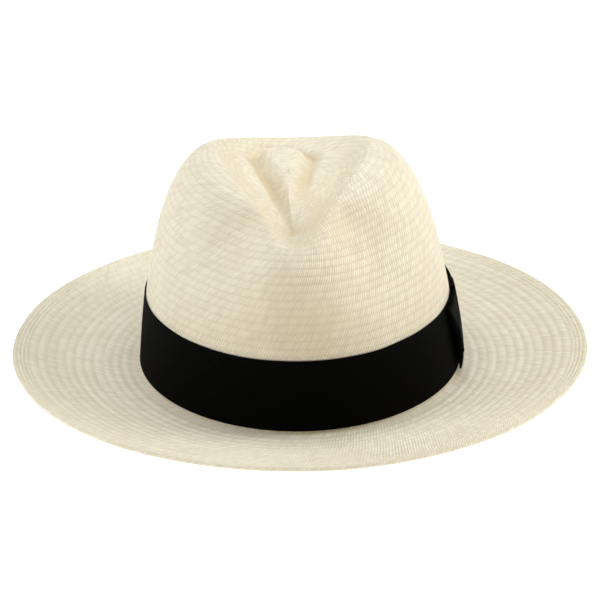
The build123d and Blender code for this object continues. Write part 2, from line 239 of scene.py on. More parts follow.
# ------------------------------------------------------------ mesh helpers
def make_mesh(name, points, faces, uvs=None, smooth=True):
    mesh = bpy.data.meshes.new(name)
    mesh.from_pydata((np.asarray(points) * MM).tolist(), [], faces)
    if uvs is not None:
        layer = mesh.uv_layers.new(name="weave")
        layer.data.foreach_set("uv", np.asarray(uvs, np.float32).ravel())
    mesh.polygons.foreach_set("use_smooth", [smooth] * len(mesh.polygons))
    mesh.update()
    obj = bpy.data.objects.new(name, mesh)
    bpy.context.scene.collection.objects.link(obj)
    return obj


def grid_object(name, points, closed_rows=False, closed_cols=True, row_uv=None, col_uv=None, shift=True):
    """A quad grid. row_uv has a value for each row; col_uv gives each row of faces its u at the full turn."""
    rows, cols = points.shape[:2]
    flat = points.reshape(-1, 3) + (SHIFT if shift else 0.0)
    index = np.arange(rows * cols).reshape(rows, cols)
    nr = rows if closed_rows else rows - 1
    nc = cols if closed_cols else cols - 1
    i = np.arange(nr)[:, None]
    j = np.arange(nc)[None, :]
    i2 = (i + 1) % rows
    j2 = (j + 1) % cols
    faces = np.stack([index[i, j], index[i2, j], index[i2, j2], index[i, j2]], -1).reshape(-1, 4)
    uvs = None
    if row_uv is not None:
        row_uv = np.asarray(row_uv, float)
        if closed_rows:
            row_uv = np.append(row_uv, 2 * row_uv[-1] - row_uv[-2])
        full = np.broadcast_to(np.asarray(1.0 if col_uv is None else col_uv, float), (nr,))
        ua = (j / nc) * full[:, None]
        ub = ((j + 1) / nc) * full[:, None]
        va = np.repeat(row_uv[:nr, None], nc, 1)
        vb = np.repeat(row_uv[1:nr + 1, None], nc, 1)
        uvs = np.stack([
            np.stack([ua, va], -1), np.stack([ua, vb], -1), np.stack([ub, vb], -1), np.stack([ub, va], -1),
        ], 2).reshape(-1, 2)
    return make_mesh(name, flat, faces.tolist(), uvs)


def tube_object(name, paths, radius, sides=6, closed=False):
    """One mesh of round tubes, one along each path of points."""
    verts, faces = [], []
    for path in paths:
        path = np.asarray(path, float)
        count = len(path)
        if closed:
            tangent = np.roll(path, -1, 0) - np.roll(path, 1, 0)
        else:
            tangent = np.gradient(path, axis=0)
        tangent /= np.linalg.norm(tangent, axis=1, keepdims=True) + 1e-12
        helper = np.array([0.0, 0.0, 1.0]) if abs(tangent[:, 2]).mean() < 0.8 else np.array([1.0, 0.0, 0.0])
        side = np.cross(tangent, helper)
        side /= np.linalg.norm(side, axis=1, keepdims=True) + 1e-12
        up = np.cross(side, tangent)
        first = len(verts)
        for k in range(count):
            taper = 1.0 if closed or 0 < k < count - 1 else 0.55
            for a in range(sides):
                angle = 2.0 * np.pi * a / sides
                verts.append(path[k] + radius * taper * (side[k] * math.cos(angle) + up[k] * math.sin(angle)))
        for k in range(count if closed else count - 1):
            k2 = (k + 1) % count
            for a in range(sides):
                b = (a + 1) % sides
                here, ahead = first + k * sides, first + k2 * sides
                faces.append([here + a, here + b, ahead + b, ahead + a])
        if not closed:
            faces.append([first + a for a in range(sides)][::-1])
            faces.append([first + (count - 1) * sides + a for a in range(sides)])
    return make_mesh(name, np.array(verts) + SHIFT, faces)


# ------------------------------------------------------------ material helpers
def hold(tree, kind, **settings):
    node = tree.nodes.new(kind)
    for key, value in settings.items():
        setattr(node, key, value)
    return node


class Maths:
    """Short names for the shader maths used below."""

    def __init__(self, tree):
        self.tree = tree

    def put(self, socket, value):
        if isinstance(value, (int, float)):
            socket.default_value = value
        else:
            self.tree.links.new(value, socket)

    def op(self, operation, a, b=0.0, clamp=False):
        node = hold(self.tree, "ShaderNodeMath", operation=operation, use_clamp=clamp)
        self.put(node.inputs[0], a)
        self.put(node.inputs[1], b)
        return node.outputs[0]

    def noise(self, vector, scale, detail=2.0, rough=0.5):
        node = hold(self.tree, "ShaderNodeTexNoise")
        self.tree.links.new(vector, node.inputs["Vector"])
        node.inputs["Scale"].default_value = scale
        node.inputs["Detail"].default_value = detail
        node.inputs["Roughness"].default_value = rough
        return node.outputs["Fac"]

    def random(self, x, y):
        join = hold(self.tree, "ShaderNodeCombineXYZ")
        self.put(join.inputs[0], x)
        self.put(join.inputs[1], y)
        node = hold(self.tree, "ShaderNodeTexWhiteNoise", noise_dimensions="2D")
        self.tree.links.new(join.outputs[0], node.inputs["Vector"])
        return node.outputs["Value"]

    def ramp(self, value, low, high):
        node = hold(self.tree, "ShaderNodeMapRange")
        self.put(node.inputs["Value"], value)
        node.inputs["From Min"].default_value = low
        node.inputs["From Max"].default_value = high
        return node.outputs["Result"]

    def mix(self, factor, a, b, blend="MIX"):
        node = hold(self.tree, "ShaderNodeMix", data_type="RGBA", blend_type=blend)
        self.put(node.inputs[0], factor)
        for socket, value in ((node.inputs[6], a), (node.inputs[7], b)):
            if isinstance(value, tuple):
                socket.default_value = (*value, 1.0)
            else:
                self.tree.links.new(value, socket)
        return node.outputs[2]


def new_material(name):
    mat = bpy.data.materials.new(name)
    mat.use_nodes = True
    tree = mat.node_tree
    shader = tree.nodes["Principled BSDF"]
    return mat, tree, shader, Maths(tree)


def add_bump(tree, shader, height, distance, strength=1.0):
    bump = tree.nodes.new("ShaderNodeBump")
    bump.inputs["Distance"].default_value = distance
    bump.inputs["Strength"].default_value = strength
    tree.links.new(height, bump.inputs["Height"])
    tree.links.new(bump.outputs[0], shader.inputs["Normal"])


def straw_material():
    mat, tree, shader, m = new_material("straw")
    uv = hold(tree, "ShaderNodeUVMap", uv_map="weave")
    place = hold(tree, "ShaderNodeTexCoord").outputs["Object"]
    parts = hold(tree, "ShaderNodeSeparateXYZ")
    tree.links.new(uv.outputs[0], parts.inputs[0])
    x, y = parts.outputs[0], parts.outputs[1]
    uneven = m.noise(place, 45.0, 2.0)
    x = m.op("ADD", x, m.op("MULTIPLY", m.op("SUBTRACT", uneven, 0.5), 0.8))
    part = m.op("FRACT", y)
    ring = m.op("FLOOR", y)
    # slanted strands, one band of them in each round
    stagger = m.op("MULTIPLY", ring, 0.37)
    slant = m.op("ADD", m.op("ADD", x, stagger), m.op("MULTIPLY", part, 1.5))
    strand = m.op("FLOOR", slant)
    wave = m.op("ABSOLUTE", m.op("SINE", m.op("MULTIPLY", slant, math.pi)))
    middle = m.op("ABSOLUTE", m.op("SUBTRACT", m.op("MULTIPLY", part, 2.0), 1.0))
    body = m.op("SUBTRACT", 1.0, m.op("MULTIPLY", m.op("POWER", middle, 3.0), 0.6))
    height = m.op("MULTIPLY", wave, body)
    tone = m.random(strand, ring)
    ring_tone = m.random(ring, 7.0)
    broad = m.noise(place, 26.0, 3.0)
    fibre = m.noise(place, 1400.0, 2.0)
    opened = hold(tree, "ShaderNodeAttribute", attribute_name="openness").outputs["Fac"]
    patchy = m.op("MULTIPLY", m.ramp(m.noise(place, 16.0, 2.0), 0.35, 0.65), 0.35)
    open_weave = m.op("ADD", patchy, m.op("MULTIPLY", opened, 0.65))
    light = m.mix(tone, (0.745, 0.658, 0.475), (0.835, 0.765, 0.592))
    dark = m.mix(tone, (0.400, 0.300, 0.170), (0.500, 0.395, 0.245))
    tight = m.op("MULTIPLY", m.op("SUBTRACT", 1.0, open_weave), 0.75)
    shown = m.op("ADD", m.ramp(height, 0.0, 0.60), tight, True)
    colour = m.mix(shown, dark, light)
    # painted shade: the colour darkens towards the grooves between rounds, following the ring relief
    groove_shade_wave = m.op("COSINE", m.op("MULTIPLY", y, 2.0 * math.pi))
    colour = m.mix(m.op("MULTIPLY", m.ramp(groove_shade_wave, -0.4, 1.0), 0.16), colour, (0.540, 0.470, 0.340))
    colour = m.mix(m.op("MULTIPLY", m.ramp(broad, 0.35, 0.75), 0.22), colour, (0.700, 0.600, 0.430))
    colour = m.mix(m.op("MULTIPLY", ring_tone, 0.10), colour, (0.600, 0.520, 0.390))
    odd = m.op("GREATER_THAN", tone, 0.97)
    colour = m.mix(m.op("MULTIPLY", odd, 0.25), colour, (0.420, 0.320, 0.170))
    # painted shade: a warm tan mixed in over the creases, the pinches and the front of the crown
    painted_shade_fac = hold(tree, "ShaderNodeAttribute", attribute_name="painted_shade").outputs["Fac"]
    colour = m.mix(m.op("MULTIPLY", painted_shade_fac, 0.60), colour, (0.700, 0.540, 0.320))
    tree.links.new(colour, shader.inputs["Base Color"])
    shader.inputs["Roughness"].default_value = 0.62
    shader.inputs["Specular IOR Level"].default_value = 0.25
    relief = m.op("ADD", height, m.op("MULTIPLY", fibre, 0.10))
    add_bump(tree, shader, relief, 0.00022, 0.8)
    return mat


def ribbon_material(name, ribs_up=True, lift=1.0):
    mat, tree, shader, m = new_material(name)
    uv = hold(tree, "ShaderNodeUVMap", uv_map="weave")
    place = hold(tree, "ShaderNodeTexCoord").outputs["Object"]
    parts = hold(tree, "ShaderNodeSeparateXYZ")
    tree.links.new(uv.outputs[0], parts.inputs[0])
    along = parts.outputs[0] if ribs_up else parts.outputs[1]
    over = parts.outputs[1] if ribs_up else parts.outputs[0]
    rib = m.op("ABSOLUTE", m.op("SINE", m.op("MULTIPLY", along, math.pi)))
    thread = m.op("ABSOLUTE", m.op("SINE", m.op("MULTIPLY", over, math.pi * 3.0)))
    height = m.op("ADD", rib, m.op("MULTIPLY", m.op("MULTIPLY", thread, rib), 0.25))
    dust = m.noise(place, 160.0, 4.0, 0.6)
    # lift scales the black colours and the sheen; above 1 it makes a lighter copy of the same grosgrain,
    # which is painted light
    groove_black, rib_black, dust_grey = (
        tuple(part * lift for part in tone)
        for tone in ((0.0006, 0.0006, 0.0005), (0.0018, 0.0018, 0.0015), (0.0035, 0.0035, 0.003))
    )
    colour = m.mix(rib, groove_black, rib_black)
    colour = m.mix(m.op("MULTIPLY", m.ramp(dust, 0.55, 0.85), 0.25), colour, dust_grey)
    tree.links.new(colour, shader.inputs["Base Color"])
    shader.inputs["Roughness"].default_value = 0.85
    shader.inputs["Specular IOR Level"].default_value = 0.03
    shader.inputs["Sheen Weight"].default_value = 0.006 * lift
    shader.inputs["Sheen Roughness"].default_value = 0.45
    add_bump(tree, shader, height, 0.00010, 0.8)
    return mat


def leather_material(name, light, dark):
    mat, tree, shader, m = new_material(name)
    place = hold(tree, "ShaderNodeTexCoord").outputs["Object"]
    cells = hold(tree, "ShaderNodeTexVoronoi", feature="DISTANCE_TO_EDGE")
    tree.links.new(place, cells.inputs["Vector"])
    cells.inputs["Scale"].default_value = 900.0
    grain = m.ramp(cells.outputs["Distance"], 0.0, 0.25)
    broad = m.noise(place, 30.0, 4.0, 0.6)
    fine = m.noise(place, 700.0, 3.0)
    colour = m.mix(m.ramp(broad, 0.3, 0.7), dark, light)
    pores = m.op("MULTIPLY", m.op("SUBTRACT", 1.0, grain), 0.35)
    colour = m.mix(pores, colour, tuple(c * 0.55 for c in dark))
    tree.links.new(colour, shader.inputs["Base Color"])
    tree.links.new(m.op("ADD", m.op("MULTIPLY", fine, 0.25), 0.36), shader.inputs["Roughness"])
    add_bump(tree, shader, m.op("ADD", grain, m.op("MULTIPLY", fine, 0.4)), 0.00012, 0.7)
    return mat


def cloth_material(name, light, dark, scale=1500.0):
    mat, tree, shader, m = new_material(name)
    place = hold(tree, "ShaderNodeTexCoord").outputs["Object"]
    wave_a = hold(tree, "ShaderNodeTexWave", wave_type="BANDS", bands_direction="Z")
    wave_b = hold(tree, "ShaderNodeTexWave", wave_type="BANDS", bands_direction="DIAGONAL")
    for wave in (wave_a, wave_b):
        tree.links.new(place, wave.inputs["Vector"])
        wave.inputs["Scale"].default_value = scale
        wave.inputs["Distortion"].default_value = 1.5
        wave.inputs["Detail"].default_value = 1.0
    height = m.op("MULTIPLY", wave_a.outputs["Fac"], wave_b.outputs["Fac"])
    broad = m.noise(place, 60.0, 3.0)
    colour = m.mix(m.ramp(height, 0.1, 0.8), dark, light)
    colour = m.mix(m.op("MULTIPLY", broad, 0.3), colour, dark)
    tree.links.new(colour, shader.inputs["Base Color"])
    shader.inputs["Roughness"].default_value = 0.8
    shader.inputs["Sheen Weight"].default_value = 0.1
    add_bump(tree, shader, height, 0.00010, 0.8)
    return mat


straw_mat = straw_material()
ribbon_mat = ribbon_material("grosgrain")
# the bow and its knot: the band's grosgrain painted 1.6 times lighter, with more sheen, as painted light
bow_lit_mat = ribbon_material("grosgrain_bow_lit", True, 1.6)
knot_lit_mat = ribbon_material("grosgrain_knot_lit", False, 1.6)
leather_mat = leather_material("sweat_leather", (0.42, 0.26, 0.14), (0.30, 0.17, 0.085))
patch_mat = leather_material("patch_leather", (0.38, 0.23, 0.12), (0.27, 0.15, 0.075))
tape_mat = cloth_material("tape", (0.66, 0.57, 0.42), (0.46, 0.38, 0.26))
straw_thread_mat = cloth_material("straw_thread", (0.86, 0.79, 0.64), (0.66, 0.57, 0.42), 2600.0)
black_thread_mat = cloth_material("black_thread", (0.020, 0.020, 0.020), (0.006, 0.006, 0.006), 2600.0)
tan_thread_mat = cloth_material("tan_thread", (0.66, 0.50, 0.32), (0.45, 0.32, 0.19), 2600.0)
narrow_mat = cloth_material("narrow_ribbon", (0.30, 0.17, 0.09), (0.16, 0.085, 0.045), 1800.0)
reed_mat = cloth_material("reed_plastic", (0.80, 0.78, 0.70), (0.66, 0.63, 0.55), 300.0)


def finish_piece(obj, mat, slot, *nodes):
    if obj.name.split(".")[0] in nodes:
        obj.name = nodes[0] + "_detail"
    obj.data.materials.append(mat)
    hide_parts(*nodes)
    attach(obj, "root")
    return obj


# ------------------------------------------------------------ the woven straw
COLS = 428
turns = turn_ring(COLS)
ctrl = controls(turns)
WALL_U = 11.0          # rings above here run evenly from the tip
SPLIT_U = 11.8         # the two straw pieces meet under the ribbon

# rounds of the crown: even steps along every meridian, so they all meet at the tip
fine_u = np.linspace(0.0, WALL_U, 900)
fine = surface(fine_u, turns, ctrl)
steps = np.linalg.norm(np.diff(fine, axis=0), axis=2)
lengths = np.concatenate([np.zeros((1, COLS)), np.cumsum(steps, axis=0)])
CROWN_RINGS = int(round(lengths[-1].mean() / RING))
PER = 5


def crown_u(rounds):
    """u where each round lies: evenly spaced up the wall, gathered towards the tip."""
    u = np.empty((len(rounds), COLS))
    for k in range(COLS):
        whole = lengths[-1, k]
        up_wall = whole - lengths[:, k]
        gather = np.clip((up_wall / whole - 0.45) / 0.55, 0.0, 1.0)
        gather = gather * gather * (3.0 - 2.0 * gather) * 0.5 + gather * 0.5
        count = up_wall / RING + (CROWN_RINGS - whole / RING) * gather
        u[:, k] = np.interp(CROWN_RINGS - np.asarray(rounds), count[::-1], fine_u[::-1])
    return u


def even_u(u0, u1, count):
    """Rows from u0 to u1 that lie evenly along the straw."""
    us = np.linspace(u0, u1, 400)
    p = surface(us, turns[::12], ctrl[:, ::12])
    walked = np.concatenate([[0.0], np.cumsum(np.linalg.norm(np.diff(p, axis=0), axis=2).mean(axis=1))])
    return np.interp(np.linspace(0.0, walked[-1], count + 1), walked, us), walked[-1]


def edge_u_at(inward):
    us = np.linspace(FOOT_U + 1.0, LAST, 800)
    side = surface(us, np.array([np.pi / 2.0]))[:, 0, 0]
    return float(np.interp(side[-1] - inward, side, us))


hem_u = edge_u_at(HEM_WIDTH)
ring_strength = 0.55 + 0.75 * rng.random(80)


def ring_relief(v, cols, depth=0.22):
    """Height of the rounds above the straw's mean surface. v counts rounds from the tip."""
    part = v - np.floor(v)
    shape = 0.5 - 0.5 * np.cos(2.0 * np.pi * part)
    ring = np.clip(np.floor(v + 1e-6).astype(int), 0, 79)
    drift = np.array([wander(cols, range(2, 9), 100 + k, 0.5) for k in range(80)])
    strength = ring_strength[ring][:, None] * (1.0 + 0.35 * drift[ring])
    calm = np.clip((v - 6.0) / 8.0, 0.05, 1.0)[:, None]
    return depth * shape[:, None] * strength * calm


def hand_blocked(points, size, seed):
    """Slow, small unevenness that the block and hands leave in the straw."""
    r = np.random.default_rng(seed)
    total = np.zeros(points.shape[:2])
    for _ in range(24):
        way = r.normal(size=3)
        way /= np.linalg.norm(way)
        long = r.uniform(28.0, 95.0)
        total += np.cos((points @ way) * 2.0 * np.pi / long + r.uniform(0, 6.28)) * long / 60.0
    return size * total / np.abs(total).max()


def outer_row_set():
    """u and round count for every row from the tip to the brim's edge."""
    v = np.arange(CROWN_RINGS * PER + 1) / float(PER)
    crown = crown_u(v)
    blocks = [crown]
    counts = [v]
    for u0, u1, count, pitch in (
        (WALL_U, SPLIT_U, 4, RING), (SPLIT_U, HEAD_U, 7, RING), (HEAD_U, FOOT_U, 9, BRIM_RING),
        (FOOT_U, hem_u, 66, BRIM_RING), (hem_u, LAST, 16, HEM_WIDTH / 4.0),
    ):
        us, long = even_u(u0, u1, count)
        blocks.append(np.repeat(us[1:, None], COLS, 1))
        counts.append(counts[-1][-1] + np.linspace(0.0, long / pitch, count + 1)[1:])
    return np.concatenate(blocks), np.concatenate(counts)


U, V = outer_row_set()
base = surface(U, turns, ctrl)
base_n = normals(base)
uneven = hand_blocked(base, 0.5, 3)
on_wall = ((U[:, :1] > WALL_U - 1.2) & (U[:, :1] < FOOT_U)).astype(float)
soften = 1.0 - np.clip(np.convolve(on_wall[:, 0], np.ones(9) / 9.0, "same"), 0, 1)[:, None]
relief = ring_relief(V, COLS) - 0.12
outer = base + base_n * (relief * (0.25 + 0.75 * soften) + uneven * soften)[..., None]
under_relief = ring_relief(V, COLS, 0.16) - 0.08
under = base - base_n * (STRAW + under_relief * soften - uneven * soften)[..., None]

split_row = CROWN_RINGS * PER + 4
facing_front = np.clip(0.5 + 0.5 * np.cos(turns - 0.25), 0.0, 1.0)
away_from_tip = np.clip((V - 10.0) / 8.0, 0.0, 1.0)
front_weave = facing_front[None, :] * away_from_tip[:, None]
hem_row = int(np.argmax(U[:, 0] >= hem_u - 1e-6))
in_hem = np.clip(np.arange(len(U)) - hem_row, 0.0, 1.0)[:, None, None]
under = under - base_n * (HEM - STRAW) * in_hem


def hollow(points, normal, reach):
    """How far each point lies below its neighbours, clipped to 0..1: it marks the creases, which get painted
    shade.
    """
    rows = len(points)
    above = points[np.clip(np.arange(rows) - reach, 0, rows - 1)]
    below = points[np.clip(np.arange(rows) + reach, 0, rows - 1)]
    deep = (((above + below) / 2.0 - points) * normal).sum(-1)
    return np.clip(deep / 1.1, 0.0, 1.0)


# painted shade: a warm tan tint in the crease hollows, where shade and warm bounced light fall
painted_shade = hollow(base, base_n, 5)
painted_shade[:10] *= np.linspace(0.0, 1.0, 10)[:, None]
painted_shade[CROWN_RINGS * PER - 8:] = 0.0
# painted shade is also added at the pinches, stronger on one side, and low on the front of the crown
around = (turns + np.pi) % (2.0 * np.pi) - np.pi
height = base[..., 2]
pinch_shade = np.where(around > 0.0, 0.50, 0.22) * np.exp(-(((np.abs(around) - PINCH_AT) / 0.30) ** 2))[None, :]
pinch_shade = pinch_shade * np.exp(-(((height - 97.0) / 13.0) ** 2))
front_shade = 0.55 * np.exp(-((around / 0.42) ** 2))[None, :] * np.exp(-(((height - 62.0) / 20.0) ** 2))
painted_shade = np.clip(painted_shade + pinch_shade + front_shade, 0.0, 1.0)
radius = np.linalg.norm(base[:, :, :2] - np.array([0.0, 4.0]), axis=2).mean(axis=1)


def stitches_round(rows_v, rows_radius):
    """How many slanted strands go round, the same for every face of one round."""
    ring = np.floor((rows_v[:-1] + rows_v[1:]) / 2.0 + 1e-6)
    count = np.empty(len(ring))
    for r in np.unique(ring):
        mean = rows_radius[:-1][ring == r].mean()
        count[ring == r] = max(8.0, round(2.0 * math.pi * mean / STITCH))
    return count


def straw_piece(name, rows_a, rows_b, closing=None):
    """A closed straw piece: outer rows, an optional rounded edge, and inner rows back."""
    points = [outer[rows_a]]
    vs = [V[rows_a]]
    radii = [radius[rows_a]]
    if closing is not None:
        points.append(closing[0])
        vs.append(closing[1])
        radii.append(np.full(len(closing[1]), radius[-1]))
    points.append(under[rows_b])
    vs.append(V[rows_b])
    radii.append(radius[rows_b])
    points = np.concatenate(points)
    vs = np.concatenate(vs)
    radii = np.concatenate(radii)
    obj = grid_object(name, points, True, True, vs, np.append(stitches_round(vs, radii), 8.0))
    # painted shade on the outer rows, at half strength on the inner rows
    shade_rows = [painted_shade[rows_a]]
    if closing is not None:
        shade_rows.append(np.zeros(closing[0].shape[:2]))
    shade_rows.append(painted_shade[rows_b] * 0.5)
    open_part = [front_weave[rows_a]]
    if closing is not None:
        open_part.append(np.repeat(front_weave[-1:], len(closing[1]), 0))
    open_part.append(front_weave[rows_b])
    for key, parts in (("painted_shade", shade_rows), ("openness", open_part)):
        layer = obj.data.attributes.new(key, "FLOAT", "POINT")
        layer.data.foreach_set("value", np.concatenate(parts).astype(np.float32).ravel())
    return obj


crown_rows = np.arange(0, split_row + 1)
inner_crown = np.concatenate([np.arange(split_row, 0, -4), [0]])
brim_rows = np.arange(split_row, len(U))
inner_brim = np.concatenate([
    np.arange(len(U) - 1, hem_row, -2), np.arange(hem_row, split_row, -2), [split_row],
])

# the folded edge: a round turn from the top layer to the layer beneath
angles = np.linspace(0.0, np.pi, 9)[1:-1]
top, low = outer[-1], under[-1]
middle = (top + low) / 2.0
half = np.linalg.norm(top - low, axis=1, keepdims=True) / 2.0
out_dir = outer[-1] - outer[-3]
out_dir /= np.linalg.norm(out_dir, axis=1, keepdims=True)
up_dir = (top - low) / (2.0 * half)
fold = np.array([middle + half * (up_dir * math.cos(a) + out_dir * 0.45 * math.sin(a)) for a in angles])
fold_v = V[-1] + np.linspace(0.1, 0.9, len(angles))

straw_crown = straw_piece("straw_crown", crown_rows, inner_crown)
straw_brim = straw_piece("straw_brim", brim_rows, inner_brim, (fold, fold_v))
finish_piece(straw_crown, straw_mat, "straw", "straw_body")
finish_piece(straw_brim, straw_mat, "straw", "straw_body")

# ------------------------------------------------------------ hat ribbon
band_turn = side_turn(BOW_MIDDLE)
ribs = 640
per_rib = 4
cols = ribs * per_rib
half_slit = 0.4 / (HEAD_L / 2.0)
band_turns = float(band_turn) + half_slit + np.linspace(0.0, 2.0 * np.pi - 2.0 * half_slit, cols + 1)
rib_height = np.abs(np.sin(np.pi * np.arange(cols + 1) / per_rib)) ** 0.8 * 0.07
loose = 0.12 * (1.0 + wander(cols + 1, range(2, 10), 11))
edge_wave = 0.22 * wander(cols + 1, range(3, 24), 12, 0.6)
share = np.array([0.0, 0.012, 0.04, 0.15, 0.3, 0.5, 0.7, 0.85, 0.96, 0.988, 1.0])
swell = 1.0 - 0.55 * np.abs(2.0 * share - 1.0) ** 8
front_z = RIBBON_LOW + RIBBON_TALL * share[:, None] + edge_wave[None, :] * share[:, None]
front_out = BAND_OUT - 0.1 + rib_height[None, :] * swell[:, None] + (loose[None, :] * (share[:, None] ** 3))
back_share = share[::-5]
back_z = RIBBON_LOW + RIBBON_TALL * back_share[:, None] + edge_wave[None, :] * back_share[:, None]
back_out = np.full(back_z.shape, BAND_IN) + loose[None, :] * (back_share[:, None] ** 3)
band_z = np.concatenate([front_z, back_z])
band_out = np.concatenate([front_out, back_out])
points = wall(band_z, band_turns, band_out)
v_uv = np.concatenate([share, back_share + 1.2]) * RIBBON_TALL
ribbon = grid_object("ribbon_band", points, True, False, v_uv, float(ribs))
finish_piece(ribbon, ribbon_mat, "grosgrain", "ribbon_band")

# ------------------------------------------------------------ the flat side bow
knot_in = BAND_OUT + 0.10
tail_in = knot_in + BOW_THICK + 0.12
loop_in = tail_in + BOW_THICK + 0.12
waist = BOW_THICK + 0.06
knot_hole = loop_in + 2.0 * waist + 0.15


class SideWall:
    """A quick table of the wall on one side, so that bows can be laid on it."""

    def __init__(self, turn0, turn1, count=240):
        self.turns = np.linspace(turn0, turn1, count)
        self.z = np.linspace(1.6, 48.0, 120)
        self.points = wall(self.z, self.turns, 0.0)
        self.n = oval_normal(self.turns)

    def place(self, turn, z, out):
        a = (turn - self.turns[0]) / (self.turns[-1] - self.turns[0]) * (len(self.turns) - 1)
        b = (z - self.z[0]) / (self.z[-1] - self.z[0]) * (len(self.z) - 1)
        a = np.clip(a, 0, len(self.turns) - 1.001)
        b = np.clip(b, 0, len(self.z) - 1.001)
        i, j = a.astype(int), b.astype(int)
        fa, fb = (a - i)[..., None], (b - j)[..., None]
        p = (self.points[j, i] * (1 - fa) * (1 - fb) + self.points[j, i + 1] * fa * (1 - fb)
             + self.points[j + 1, i] * (1 - fa) * fb + self.points[j + 1, i + 1] * fa * fb)
        n = self.n[i] * (1 - fa) + self.n[i + 1] * fa
        result = p.copy()
        result[..., :2] += n * out[..., None]
        result[..., 2] = z
        return result


def folded_ribbon(
    name, side, z0, z1, turn0, turn1, near, way, thick, waist, swell, stand_off, fullness, rows, ribs,
    wave=0.0, front_low=1.0,
):
    """A ribbon ring pressed flat, thin in the middle, with an open rounded fold at each end."""
    middle, half_span = (turn0 + turn1) / 2.0, (turn1 - turn0) / 2.0
    mm_per_turn = HEAD_L / 2.0
    share = np.linspace(0.0, 1.0, rows)
    lists = []
    for s in share:
        full = np.interp(s, np.linspace(0.0, 1.0, len(fullness)), fullness)
        t = np.linspace(-1.0, 1.0, 49)
        half = waist + swell * full * np.abs(t) ** 1.6 - thick / 2.0
        start = stand_off * full * np.maximum(0.0, -t) ** 2 + thick / 2.0
        sway = wave * (math.sin(5.2 * s + 0.6) * np.maximum(0.0, -t) ** 3)
        low_side = np.stack([t * half_span * mm_per_turn, start + sway], -1)
        high_side = np.stack([t * half_span * mm_per_turn, start + sway + 2.0 * half], -1)
        arc = np.linspace(-np.pi / 2.0, np.pi / 2.0, 13)[1:-1]
        r1, r0 = half[-1], half[0]
        end = np.stack([low_side[-1, 0] + r1 * np.cos(arc), low_side[-1, 1] + r1 + r1 * np.sin(arc)], -1)
        begin = np.stack([low_side[0, 0] - r0 * np.cos(arc), low_side[0, 1] + r0 - r0 * np.sin(arc)], -1)
        path = np.concatenate([low_side, end, high_side[::-1], begin])
        if wave:
            near_front = np.clip(-path[:, 0] / (half_span * mm_per_turn), 0, 1) ** 4
            path[:, 0] += 0.7 * wave * math.sin(4.1 * s + 1.0) * near_front
        path[:, 0] *= np.where(path[:, 0] < 0.0, np.interp(s, [0.0, 1.0], [front_low, 1.0]), 1.0)
        lists.append(path)
    paths = np.array(lists)
    tangent = np.roll(paths, -1, 1) - np.roll(paths, 1, 1)
    tangent /= np.linalg.norm(tangent, axis=2, keepdims=True) + 1e-12
    normal = np.stack([tangent[..., 1], -tangent[..., 0]], -1)
    z = z0 + (z1 - z0) * share[:, None] + np.zeros(paths.shape[:2])
    outside = paths + normal * thick / 2.0
    inside = paths - normal * thick / 2.0
    grid = []
    for flat in (outside, inside[::-1]):
        zz = z if flat is outside else z[::-1]
        turn = middle + flat[..., 0] / mm_per_turn
        grid.append(side.place(turn, zz, near + way * flat[..., 1]))
    v_uv = np.concatenate([share, 1.1 + share]) * (z1 - z0)
    obj = grid_object(name, np.concatenate(grid), True, True, v_uv, float(ribs))
    length = np.linalg.norm(np.roll(paths, -1, 1) - paths, axis=2).sum(axis=1).mean()
    return obj, length


left_side = SideWall(float(side_turn(-60.0)), float(side_turn(75.0)))
bow_loop, loop_long = folded_ribbon(
    "bow_loop", left_side, RIBBON_LOW + 0.3, RIBBON_TOP - 0.3,
    float(side_turn(BOW_FRONT)), float(side_turn(BOW_BACK)),
    loop_in, 1.0, BOW_THICK, waist, 1.3, 1.0, [0.1, 0.8, 1.15, 0.4], 15, 168, 0.35, 0.80,
)
finish_piece(bow_loop, bow_lit_mat, "grosgrain", "bow_loop")

# the tail behind the loop, its end cut to a notch
rows, cols = 25, 60
share = np.linspace(0.0, 1.0, rows)
reach = BOW_BACK + 13.0 - 9.0 * (1.0 - np.abs(2.0 * share - 1.0))
start = BOW_MIDDLE - 4.0
along = start + (reach[:, None] - start) * np.linspace(0.0, 1.0, cols)[None, :]
z = (RIBBON_LOW + 0.4 + (RIBBON_TALL - 0.8) * share)[:, None] + np.zeros((rows, cols))
lift = 0.35 * np.clip((along - BOW_BACK) / 13.0, 0.0, 1.0) ** 2
turn = side_turn(along)
front = left_side.place(turn, z, tail_in + BOW_THICK + lift)
back = left_side.place(turn, z, tail_in + lift)
shell = np.concatenate([front, back[::-1]])
ends = np.concatenate([share, 1.1 + share]) * RIBBON_TALL
bow_tail = grid_object("bow_tail", shell, True, False, ends, 58.0)


def close_ends(obj, rows, cols):
    """Adds the cut ends of a flat strip made of a front and a back grid."""
    mesh = obj.data
    verts = [tuple(v.co) for v in mesh.vertices]
    faces = [tuple(p.vertices) for p in mesh.polygons]
    uv = [tuple(d.uv) for d in mesh.uv_layers["weave"].data]
    total = 2 * rows
    for col, flip in ((0, True), (cols - 1, False)):
        for r in range(rows - 1):
            quad = [row * cols + col for row in (r, r + 1, total - 2 - r, total - 1 - r)]
            quad = quad[::-1] if flip else quad
            faces.append(tuple(quad))
            uv += [(0.0, 0.0)] * 4
    new = bpy.data.meshes.new(obj.name)
    new.from_pydata(verts, [], faces)
    layer = new.uv_layers.new(name="weave")
    layer.data.foreach_set("uv", np.array(uv, np.float32).ravel())
    new.polygons.foreach_set("use_smooth", [True] * len(new.polygons))
    new.update()
    obj.data = new


close_ends(bow_tail, rows, cols)
finish_piece(bow_tail, bow_lit_mat, "grosgrain", "bow_tail")


